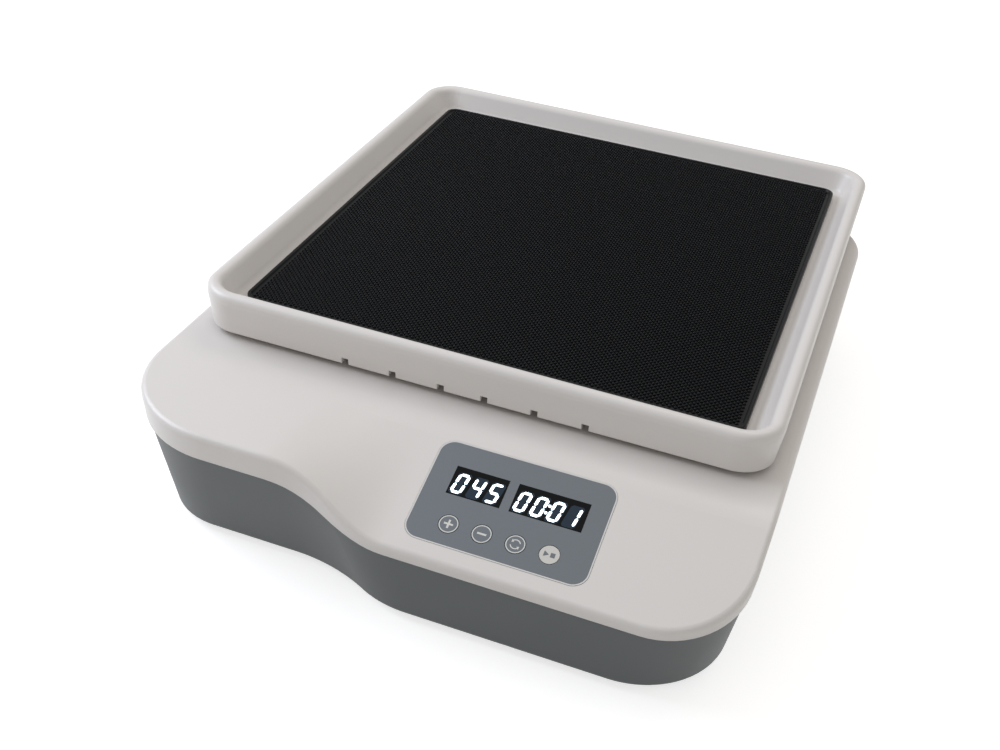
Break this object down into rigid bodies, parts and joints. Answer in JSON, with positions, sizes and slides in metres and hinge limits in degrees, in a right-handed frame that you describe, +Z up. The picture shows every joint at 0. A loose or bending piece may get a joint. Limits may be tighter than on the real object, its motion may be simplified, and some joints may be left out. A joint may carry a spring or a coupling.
{
  "type": "orbital shaker",
  "caption": "Bench orbital shaker: a flat rimmed tray with a patterned mat circles level above a low housing with a sloped control panel.",
  "frame": {"origin": "on the bench, under the middle of the whole machine with the tray at its rearmost point", "axes": "+X to the right and +Y to the back for a person facing the control panel, +Z up"},
  "size_m": [0.2764, 0.3536, 0.0878],
  "materials": {
    "white_abs": "satin moulded",
    "grey_abs": "fine moulded grain",
    "rubber_mat": "raised diamond pattern",
    "rubber_foot": "matt",
    "overlay_film": "fine textured film",
    "display_window": "smoked",
    "display_module": "lit digits",
    "key_plastic": "satin",
    "start_key_plastic": "satin",
    "steel": "turned",
    "zinc_steel": "zinc plated sheet",
    "bearing_steel": "ground rings and seals",
    "aluminium": "milled",
    "belt_rubber": "cloth backed",
    "circuit_board": "solder mask",
    "black_plastic": "moulded",
    "brass": "nickel plated"
  },
  "bodies": {
    "base": {"base_shell": "grey_abs", "chassis_plate": "zinc_steel", "chassis_screws": "steel", "control_board": "circuit_board", "control_parts": "black_plastic", "control_screws": "steel", "cover_screws": "steel", "display_board": "circuit_board", "display_screws": "steel", "drive_bearings": "bearing_steel", "drive_belt": "belt_rubber", "drive_housing": "aluminium", "guide_bearings_1": "bearing_steel", "guide_bearings_2": "bearing_steel", "guide_bearings_3": "bearing_steel", "guide_bearings_4": "bearing_steel", "guide_housing_1": "aluminium", "guide_housing_2": "aluminium", "guide_housing_3": "aluminium", "guide_housing_4": "aluminium", "housing_screws": "steel", "inlet_pins": "brass", "inlet_screws": "steel", "key_switches": "black_plastic", "mains_inlet": "black_plastic", "motor_can": "zinc_steel", "motor_screws": "steel", "panel_overlay": "overlay_film", "rubber_feet": "rubber_foot", "speed_digits": "display_module", "speed_window": "display_window", "supply_board": "circuit_board", "supply_parts": "black_plastic", "supply_screws": "steel", "supply_standoffs": "aluminium", "switch_frame": "black_plastic", "time_digits": "display_module", "time_window": "display_window", "top_cover": "white_abs"},
    "drive_crank": {"drive_crank": "steel", "counterweight": "steel", "counterweight_screws": "steel", "crank_pulley": "aluminium"},
    "platform": {"carrier_plate": "aluminium", "drive_pin_bearing": "bearing_steel", "guide_pin_bearings": "bearing_steel", "tray": "white_abs", "tray_screws": "steel", "grip_mat": "rubber_mat"},
    "motor_rotor": {"motor_shaft": "steel", "motor_pulley": "aluminium"},
    "plus_key": {"plus_key": "key_plastic"},
    "minus_key": {"minus_key": "key_plastic"},
    "mode_key": {"mode_key": "key_plastic"},
    "start_key": {"start_key": "start_key_plastic"},
    "power_rocker": {"power_rocker": "black_plastic"},
    "guide_crank_1": {"guide_crank_1": "steel"},
    "guide_crank_2": {"guide_crank_2": "steel"},
    "guide_crank_3": {"guide_crank_3": "steel"},
    "guide_crank_4": {"guide_crank_4": "steel"}
  },
  "joints": [
    {"name": "crank_spin", "type": "hinge", "parent": "base", "child": "drive_crank", "pos_m": [0, 0.02685, 0], "axis": [0, 0, 1], "continuous": true},
    {"name": "platform_spin", "type": "hinge", "parent": "drive_crank", "child": "platform", "pos_m": [0, 0.03685, 0], "axis": [0, 0, 1], "continuous": true},
    {"name": "motor_spin", "type": "hinge", "parent": "base", "child": "motor_rotor", "pos_m": [0, -0.05615, 0], "axis": [0, 0, 1], "continuous": true},
    {"name": "guide_spin_1", "type": "hinge", "parent": "base", "child": "guide_crank_1", "pos_m": [-0.085, -0.05915, 0], "axis": [0, 0, 1], "continuous": true},
    {"name": "guide_spin_2", "type": "hinge", "parent": "base", "child": "guide_crank_2", "pos_m": [0.085, -0.05915, 0], "axis": [0, 0, 1], "continuous": true},
    {"name": "guide_spin_3", "type": "hinge", "parent": "base", "child": "guide_crank_3", "pos_m": [-0.085, 0.11285, 0], "axis": [0, 0, 1], "continuous": true},
    {"name": "guide_spin_4", "type": "hinge", "parent": "base", "child": "guide_crank_4", "pos_m": [0.085, 0.11285, 0], "axis": [0, 0, 1], "continuous": true},
    {"name": "plus_press", "type": "slide", "parent": "base", "child": "plus_key", "axis": [0, 0.3453, -0.9385], "range_m": [0, 0.0004], "stiffness_N_per_m": 400, "springref_m": -0.0002},
    {"name": "minus_press", "type": "slide", "parent": "base", "child": "minus_key", "axis": [0, 0.3453, -0.9385], "range_m": [0, 0.0004], "stiffness_N_per_m": 400, "springref_m": -0.0002},
    {"name": "mode_press", "type": "slide", "parent": "base", "child": "mode_key", "axis": [0, 0.3453, -0.9385], "range_m": [0, 0.0004], "stiffness_N_per_m": 400, "springref_m": -0.0002},
    {"name": "start_press", "type": "slide", "parent": "base", "child": "start_key", "axis": [0, 0.3453, -0.9385], "range_m": [0, 0.0004], "stiffness_N_per_m": 400, "springref_m": -0.0002},
    {"name": "rocker_swing", "type": "hinge", "parent": "base", "child": "power_rocker", "pos_m": [-0.005, 0.15399, 0.031], "axis": [-1, 0, 0], "range_deg": [0, 20]}
  ],
  "couplings": [
    {"joint": "platform_spin", "follows": "crank_spin", "ratio": -1},
    {"joint": "motor_spin", "follows": "crank_spin", "ratio": 3.3333},
    {"joint": "guide_spin_1", "follows": "crank_spin", "ratio": 1},
    {"joint": "guide_spin_2", "follows": "crank_spin", "ratio": 1},
    {"joint": "guide_spin_3", "follows": "crank_spin", "ratio": 1},
    {"joint": "guide_spin_4", "follows": "crank_spin", "ratio": 1}
  ]
}
